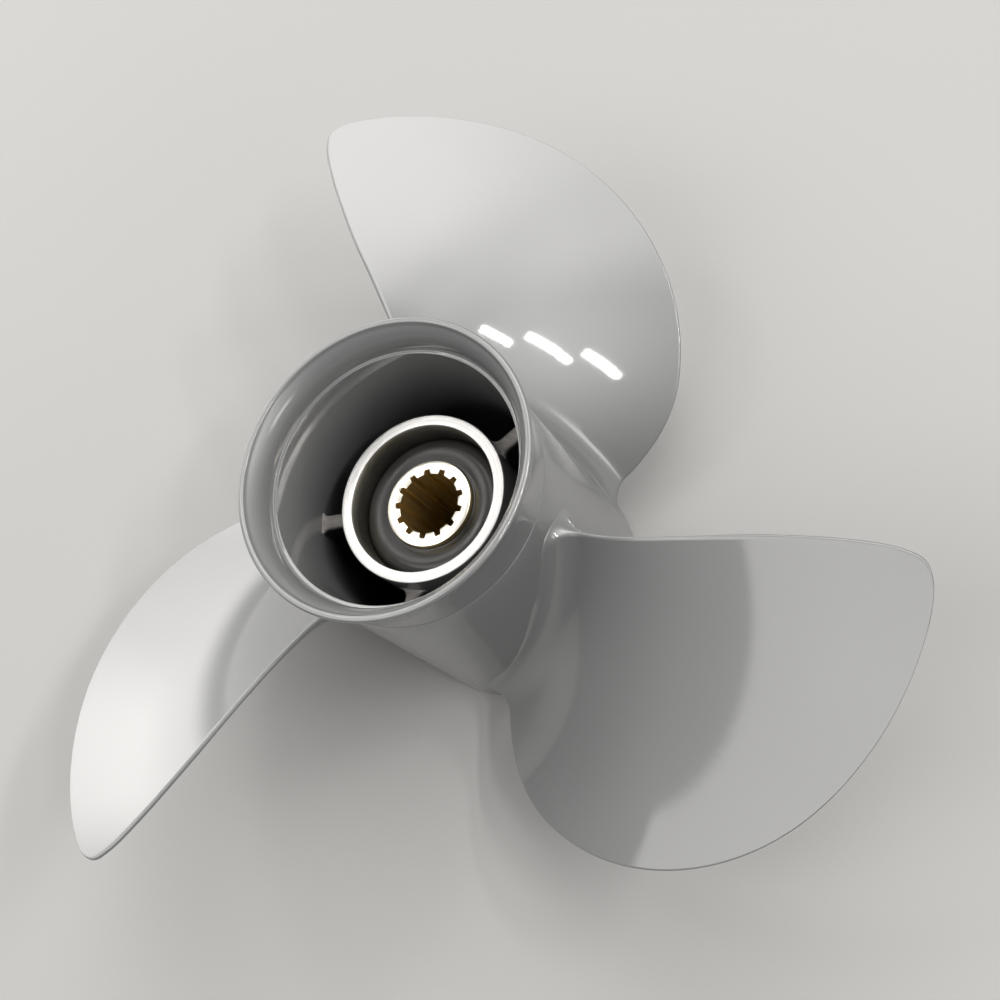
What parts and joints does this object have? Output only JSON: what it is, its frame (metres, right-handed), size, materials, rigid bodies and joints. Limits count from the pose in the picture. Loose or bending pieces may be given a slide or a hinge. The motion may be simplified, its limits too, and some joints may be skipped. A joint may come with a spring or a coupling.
{
  "type": "boat propeller",
  "caption": "Right-hand outboard propeller with swept helical blades on a through-hub exhaust barrel, with a rubber-bushed splined brass sleeve.",
  "frame": {"origin": "centre of the splined sleeve's front face, on the shaft axis, where the sleeve seats against the shaft's thrust washer", "axes": "+Z points aft along the shaft axis, towards the flared exhaust end; the blades repeat every 120 degrees about it; the first blade's middle points roughly along +Y"},
  "size_m": [0.2667, 0.2539, 0.114],
  "materials": {
    "gloss_grey_paint": "gloss enamel, bluish mid grey",
    "machined_aluminium": "turned bare aluminium",
    "cast_aluminium": "as cast, thin grey overspray",
    "bushing_rubber": "smooth moulded, slightly glossy",
    "sleeve_brass": "machined, polished end faces"
  },
  "bodies": {
    "sleeve": {"splined_sleeve": "sleeve_brass", "rubber_bushing": "bushing_rubber"},
    "propeller": {"hub_barrel": "gloss_grey_paint", "diffuser_ring": "gloss_grey_paint", "inner_hub_tube": "machined_aluminium", "hub_rib_1": "cast_aluminium", "hub_rib_2": "cast_aluminium", "hub_rib_3": "cast_aluminium", "blade_1": "gloss_grey_paint", "blade_2": "gloss_grey_paint", "blade_3": "gloss_grey_paint"}
  },
  "joints": [
    {"name": "bushing_windup", "type": "hinge", "parent": "sleeve", "child": "propeller", "pos_m": [0, 0, 0], "axis": [0, 0, 1], "range_deg": [-8, 8], "stiffness_Nm_per_rad": 1500}
  ]
}
